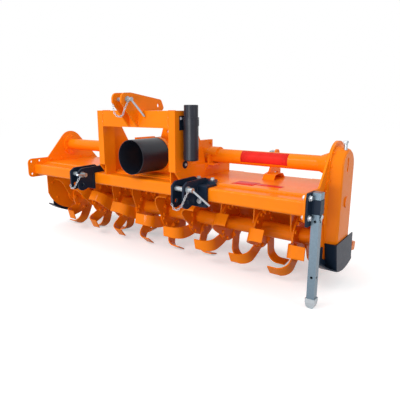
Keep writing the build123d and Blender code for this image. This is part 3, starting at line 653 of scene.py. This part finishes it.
class TILLER_OT_rotor_bolts(bpy.types.Operator):
    """Two bolts through every tine and its disc, heads and nuts"""
    bl_idname = "tiller.rotor_bolts"
    bl_label = "Tine bolts"

    def execute(self, context):
        sizes = context.scene.tiller_bolts
        places, angles = tine_bolt_places(mm(sizes.tine_circle))
        heads = copies(bolt(sizes.tine_head, height=0.0095), places, ALONG_X, angles)
        nuts = copies(nut(sizes.tine_head, height=0.009, stud=0.0055), places - (TINE_GRIP, 0, 0),
                      AGAINST_X, angles)
        join("tine_bolts", [heads, nuts], finish("orange_paint"), "rotor", smooth=False)
        return {"FINISHED"}


CASE_FLANGE_X = 1166            # outer face of the gear case's flange
# (y, z) down the flange's front edge
CASE_BOLTS = np.array([(279, 213), (252, 144), (230, 70), (197, 20), (194, -66), (198, -152)], float)
# places as (x, y, z); of bolts in pairs, the one on the machine's right
FLANGE_BOLTS = [(277, TUBE[0] + back, TUBE[1] + up) for back in (-72, 72) for up in (-72, 72)]
DECK_BOLTS = ((1144, 150, 30), (1144, 259, 30), (1144, 454, 30), (1144, 569, 30))
PLATE_BOLTS = ((1150, 149, -171), (1150, 188, -303))
SADDLE_BOLTS = ((346, 303, 75), (346, 440, 75))
ROLLER_LUG_BOLTS = ((1172, 490, -366), (1172, 520, -335))
TUBE_END_BOLTS = ring(-1138, *TUBE, radius=66, count=6, start=0.5)      # inside the left side plate
BEARING_BOLTS = ring(-1174, *ROTOR, radius=75, count=6)                 # outside the left side plate
# the ring is turned to face backwards
GEARBOX_COVER_BOLTS = ring(492, 0, 133, radius=80, count=6, start=0.26)[:, [1, 0, 2]]
GEARBOX_LID_BOLTS = [(side * 58, y, 222) for side in (-1, 1) for y in (274, 346, 418)]


def case_bolt_places():
    """Bolts down the gear case's front edge, and the same mirrored behind the rotor's axis."""
    rear = CASE_BOLTS * (-1, 1) + (2 * ROTOR[0], 0)
    return np.insert(np.vstack([CASE_BOLTS, rear]), 0, CASE_FLANGE_X, axis=1)


class TILLER_OT_frame_bolts(bpy.types.Operator):
    """Painted bolts of the gear case, carrier tubes, deck, side plates, saddles, bearing, gearbox and lugs"""
    bl_idname = "tiller.frame_bolts"
    bl_label = "Painted bolts"

    def execute(self, context):
        across = context.scene.tiller_bolts.frame_head
        head = bolt(across, height=0.008, washer=across * 0.72, sheet=0.002)
        small = bolt(across * 0.8, height=0.006, washer=across * 0.6, sheet=0.0016)
        forms = [
            copies(small, case_bolt_places(), ALONG_X),
            pairs(head, FLANGE_BOLTS, ALONG_X),
            pairs(small, DECK_BOLTS, AGAINST_X),
            pairs(small, PLATE_BOLTS, AGAINST_X),
            pairs(head, SADDLE_BOLTS, ALONG_X),
            copies(small, TUBE_END_BOLTS, ALONG_X),
            copies(small, BEARING_BOLTS, AGAINST_X),
            copies(small, GEARBOX_COVER_BOLTS, ALONG_Y),
            copies(small, GEARBOX_LID_BOLTS, ALONG_Z),
            pairs(head, ROLLER_LUG_BOLTS, ALONG_X),
        ]
        join("painted_bolts", forms, finish("orange_paint"), "frame", smooth=False)
        return {"FINISHED"}


LINK_BASE_BOLTS = ((402, 132, 24), (504, 132, 24))
LINK_TAB_BOLTS = ((519, -22, -76),)
STAND_BOLTS = np.array([(1170, -25, 24), (1170, -25, -74)], float)
STAND_GRIP = 20                 # stand plate and lug together, between a bolt's head and its nut
DOCUMENT_TUBE_BOLTS = ((342, 37, 382), (342, 81, 107))
BREATHER_PLACE = (-60, 300, 222)
BREATHER = ((0.011, -0.001), (0.011, 0.006), (0.008, 0.007), (0.008, 0.014), (0.013, 0.015), (0.013, 0.024),
            (0.008, 0.028))


class TILLER_OT_bright_bolts(bpy.types.Operator):
    """Plated bolts of the link brackets, stand and document tube, and the gearbox's breather"""
    bl_idname = "tiller.bright_bolts"
    bl_label = "Plated bolts"

    def execute(self, context):
        across = context.scene.tiller_bolts.bright_head
        head = bolt(across, height=0.010, washer=across * 0.72, sheet=0.003)
        small = bolt(0.013, height=0.006, washer=0.010, sheet=0.0015)
        forms = [
            pairs(head, LINK_BASE_BOLTS, ALONG_Z),
            pairs(head, LINK_TAB_BOLTS, AGAINST_Y),
            copies(head, STAND_BOLTS, ALONG_X),
            copies(nut(across, height=0.012, stud=0.008), STAND_BOLTS - (STAND_GRIP, 0, 0), AGAINST_X),
            copies(small, DOCUMENT_TUBE_BOLTS, ALONG_X),
            copies(turned(BREATHER, sides=18), BREATHER_PLACE, ALONG_Z),
        ]
        join("plated_bolts", forms, finish("bright_steel"), "frame", smooth=False)
        return {"FINISHED"}


# ---------------------------------------------------------------- chains, clip, welds, springs, splines
CHAIN_ROWS = 60                 # points along a chain's path
CHAINS = (
    ("top_link_chain", ((66, -112, 484), (74, -150, 440), (55, -152, 402), (20, -151, 392), (-16, -151, 414),
                        (-37, -140, 462))),
    ("right_link_chain", ((520, -126, -5), (512, -148, -44), (492, -150, -84), (462, -150, -112),
                          (436, -149, -110), (415, -143, -84))),
    ("left_link_chain", ((-397, -130, -5), (-412, -150, -44), (-440, -152, -82), (-470, -152, -96),
                         (-490, -150, -88), (-495, -143, -74))),
)


class TILLER_OT_chains(bpy.types.Operator):
    """Small chains that hold the pins to their plates"""
    bl_idname = "tiller.chains"
    bl_label = "Pin chains"

    def execute(self, context):
        sizes = context.scene.tiller_chains
        for name, knots in CHAINS:
            links = chain(soft_path(knots, CHAIN_ROWS), sizes.wire, sizes.link)
            join(name, [links], finish("bright_steel"), "frame")
        return {"FINISHED"}


STAND_PIN = (1192, 22, -70)     # the pin's middle, in the stand's leg
STAND_PIN_HALF = 20             # from there to each head
STAND_PIN_HEAD = ((0.0068, -0.001), (0.0068, 0.004), (0.011, 0.0045), (0.011, 0.008), (0.009, 0.0095))
CLIP_WIRE = 0.0017              # radius, in metres
# the rest of the clip from the pin's middle, in millimetres
CLIP_TAIL = ((21.5, 2, -2), (22, 3, -12), (24, 1, -20))
CLIP_LOOP = (24, 0, -9)         # middle of the oval loop that follows the tail
CLIP_HALF_WIDTH, CLIP_HALF_HEIGHT = 9, 13
CLIP_ARC, CLIP_ROWS = (-0.5 * pi, 1.35 * pi), 34        # from below, round past the top


class TILLER_OT_stand_clip(bpy.types.Operator):
    """Heads and spring clip of the stand's pin"""
    bl_idname = "tiller.stand_clip"
    bl_label = "Stand clip"

    def execute(self, context):
        head = turned(STAND_PIN_HEAD, sides=20)
        angle = np.linspace(*CLIP_ARC, CLIP_ROWS)[1:]
        loop = CLIP_LOOP + np.stack([0 * angle, CLIP_HALF_WIDTH * np.cos(angle),
                                     CLIP_HALF_HEIGHT * np.sin(angle)], axis=-1)
        wire = STAND_PIN + np.vstack([CLIP_TAIL, loop])
        x, y, z = STAND_PIN
        forms = [copies(head, (x + STAND_PIN_HALF, y, z), ALONG_X),
                 copies(head, (x - STAND_PIN_HALF, y, z), AGAINST_X),
                 swept(at(wire), CLIP_WIRE)]
        join("stand_clip", forms, finish("bright_steel"), "stand")
        return {"FINISHED"}


# start and end of each bead on the right side; the left side mirrors them
ORANGE_BEADS = (
    ((285, -12, 328), (285, -12, 424)),         # cross bar to the headstock's post, in front and on top
    ((285, -10, 427), (285, 58, 427)),
    ((336, 100, 12), (336, 282, 12)),           # headstock plate to the deck, outside and inside
    ((326, 110, 12), (326, 580, 12)),
    ((285, 2, 0), (285, 84, 0)),                # post to the beam
    ((31, -12, 328), (31, -12, 425)),           # top link plate to the cross bar, inner and outer face
    ((31, -10, 427), (31, 58, 427)),
    ((43, -12, 328), (43, -12, 425)),
    ((43, -10, 427), (43, 58, 427)),
    ((716, 430, 49), (716, 500, 48)),           # rod post's ear to its foot
    ((728, 430, 49), (728, 500, 48)),
)
LINK_PLATE_FACES = (409, 421, 489, 501)         # x of both faces of both plates of a link bracket
BLACK_BEADS = tuple(((x, -14, -104), (x, -14, 6)) for x in LINK_PLATE_FACES)


class TILLER_OT_welds(bpy.types.Operator):
    """Weld beads of the headstock, top link plates, link brackets and rod posts"""
    bl_idname = "tiller.welds"
    bl_label = "Welds"

    def execute(self, context):
        radius = context.scene.tiller_welds.bead
        for name, beads, kind in (("orange_welds", ORANGE_BEADS, "orange_paint"),
                                  ("black_welds", BLACK_BEADS, "black_paint")):
            left = [weld(*mirrored(ends), radius) for ends in beads]
            right = [weld(*ends, radius) for ends in beads]
            join(name, left + right, finish(kind), "frame")
        return {"FINISHED"}


ROD_X = 690                     # of the right rod; the left one mirrors it
ROD_FOOT, ROD_EYE = np.array([720.0, -150.0]), np.array([537.0, 160.0])     # (y, z) of a rod's pin and guide
SPRING_START = 69               # from the rod's pin up to its spring
SPRING_TURN_ROWS = 26           # points to a turn of the spring
COLLAR = ((0.0145, -0.003), (0.016, -0.0018), (0.016, 0.0018), (0.0145, 0.003))
COLLAR_OFFSET = 2               # a collar's middle, beyond the spring's end
SPLIT_PIN_PLACE = 13.5          # from the guide on along the rod
SPLIT_PIN_HALF, SPLIT_PIN_WIRE = 13, 0.0018     # half its length in millimetres, its radius in metres


class TILLER_OT_rod_springs(bpy.types.Operator):
    """Springs on the tailboard's rods between their collars, and the split pins at the rods' upper ends"""
    bl_idname = "tiller.rod_springs"
    bl_label = "Rod springs"

    def execute(self, context):
        sizes = context.scene.tiller_springs
        run = unit(ROD_EYE - ROD_FOOT)
        side = np.array([-run[1], run[0]])
        angle = np.linspace(0, 2 * pi * sizes.turns, sizes.turns * SPRING_TURN_ROWS)
        way = SPRING_START + mm(sizes.length) * np.linspace(0, 1, len(angle))
        across = mm(sizes.coil) * np.cos(angle)
        back_and_up = ROD_FOOT + run * way[:, None] + side * mm(sizes.coil) * np.sin(angle)[:, None]
        collar_ways = (way[0] - COLLAR_OFFSET, way[-1] + COLLAR_OFFSET)
        top = ROD_EYE + run * SPLIT_PIN_PLACE
        forms = []
        for x in (-ROD_X, ROD_X):
            coil = np.column_stack([x + across, back_and_up])
            collars = [(x, *(ROD_FOOT + run * place)) for place in collar_ways]
            split_pin = [(x + reach, *top) for reach in (-SPLIT_PIN_HALF, 0, SPLIT_PIN_HALF)]
            forms += [swept(at(coil), sizes.wire, sides=7),
                      copies(turned(COLLAR, sides=20), collars, (0, *run)),
                      swept(at(split_pin), SPLIT_PIN_WIRE)]
        join("rod_springs", forms, finish("zinc"), "rods")
        return {"FINISHED"}


SPLINE_START, SPLINE_END = 0.002, 0.032         # from the shaft's front face, in metres
SPLINE_TIP = 0.001                              # radius to which both ends of a spline run out


class TILLER_OT_splines(bpy.types.Operator):
    """Splines of the input shaft"""
    bl_idname = "tiller.splines"
    bl_label = "Input splines"

    def execute(self, context):
        sizes = context.scene.tiller_splines
        low, high = np.array(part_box("pto_shaft"))
        centre = (low + high) / 2
        radii = (SPLINE_TIP, sizes.rib, sizes.rib, sizes.rib, SPLINE_TIP)
        along = np.linspace(low[1] + SPLINE_START, low[1] + SPLINE_END, len(radii))
        forms = []
        for turn in np.arange(sizes.count) * 2 * pi / sizes.count:
            x = centre[0] + sizes.circle * cos(turn)
            z = centre[2] + sizes.circle * sin(turn)
            forms.append(swept([(x, y, z) for y in along], radii))
        join("input_splines", forms, finish("bright_steel"), "pto")
        return {"FINISHED"}


# ---------------------------------------------------------------- plain films
FILM = 0.4                      # thickness of a film
TUBE_FILM_X = 580               # left end of the film on the carrier tube
TUBE_FILM_R = 44.9              # its outer face; the tube's radius is 44.45
TUBE_FILM_ARC = (212, 108)      # degrees from backwards round to up, in the order that faces outwards
TUBE_FILM_ROWS, TUBE_FILM_COLUMNS = 20, 12
DECK_FILM_TOP = 12.4            # the deck's sheet ends at 12
DECK_FILM_LEFT, DECK_FILM_Y = 622, (152, 260)           # the larger film: its left end, its front and back
SMALL_FILM_X, SMALL_FILM_Y = (768, 922), (184, 238)


def tube_film_grid(width, radius):
    """A strip round the carrier tube: y and z are its axis plus radius times the cos and sin of the angle."""
    angle = np.radians(np.linspace(*TUBE_FILM_ARC, TUBE_FILM_ROWS))
    x = np.linspace(TUBE_FILM_X, TUBE_FILM_X + width, TUBE_FILM_COLUMNS)
    angle, x = np.meshgrid(angle, x, indexing="ij")
    return np.stack([x, TUBE[0] + radius * np.cos(angle), TUBE[1] + radius * np.sin(angle)], axis=-1)


class TILLER_OT_labels(bpy.types.Operator):
    """Plain red films on the right carrier tube and the deck, without any words"""
    bl_idname = "tiller.labels"
    bl_label = "Plain labels"

    def execute(self, context):
        sizes = context.scene.tiller_labels
        faces = [at(tube_film_grid(mm(sizes.width), radius)) for radius in (TUBE_FILM_R, TUBE_FILM_R - FILM)]
        join("tube_label", [slab(*faces)], finish("label"), "frame")
        forms = []
        for (left, right), ends in (((DECK_FILM_LEFT, DECK_FILM_LEFT + mm(sizes.deck_width)), DECK_FILM_Y),
                                    (SMALL_FILM_X, SMALL_FILM_Y)):
            grid = flat_grid(left, right, *ends, DECK_FILM_TOP, rows=4, columns=8)
            forms.append(slab(at(grid), at(grid - (0, 0, FILM))))
        join("deck_labels", forms, finish("label"), "frame")
        return {"FINISHED"}


# ---------------------------------------------------------------- panel and registration
SETTINGS = {
    "tiller_colours": TillerColours,
    "tiller_stage": TillerStageSizes,
    "tiller_bolts": TillerBoltSizes,
    "tiller_chains": TillerChainSizes,
    "tiller_welds": TillerWeldSizes,
    "tiller_springs": TillerSpringSizes,
    "tiller_splines": TillerSplineSizes,
    "tiller_labels": TillerLabelSizes,
}
OPERATORS = (TILLER_OT_stage, TILLER_OT_finishes, TILLER_OT_rotor_bolts, TILLER_OT_frame_bolts,
             TILLER_OT_bright_bolts, TILLER_OT_chains, TILLER_OT_stand_clip, TILLER_OT_welds,
             TILLER_OT_rod_springs, TILLER_OT_splines, TILLER_OT_labels)


class TILLER_PT_panel(bpy.types.Panel):
    """Sidebar panel with every step and its sizes"""
    bl_idname = "TILLER_PT_panel"
    bl_label = "Rotary tiller"
    bl_space_type = "VIEW_3D"
    bl_region_type = "UI"
    bl_category = "Tiller"

    def draw(self, context):
        column = self.layout.column()
        for operator in OPERATORS:
            column.operator(operator.bl_idname)
        for group, kind in SETTINGS.items():
            box = self.layout.box()
            box.label(text=kind.__doc__)
            for setting in kind.__annotations__:
                box.prop(getattr(context.scene, group), setting)


CLASSES = (*SETTINGS.values(), *OPERATORS, TILLER_PT_panel)


def register():
    """Make the classes known, and give the scene its settings."""
    for cls in CLASSES:
        bpy.utils.register_class(cls)
    for name, kind in SETTINGS.items():
        setattr(bpy.types.Scene, name, bpy.props.PointerProperty(type=kind))


def unregister():
    """Take the settings and the classes away again."""
    for name in SETTINGS:
        delattr(bpy.types.Scene, name)
    for cls in reversed(CLASSES):
        bpy.utils.unregister_class(cls)


def main():
    """Dress the whole machine, one operator after the other."""
    register()
    for operator in OPERATORS:
        name = operator.bl_idname.removeprefix("tiller.")
        if getattr(bpy.ops.tiller, name)() != {"FINISHED"}:
            raise RuntimeError(f"{name} did not finish")


if __name__ == "__main__":
    main()
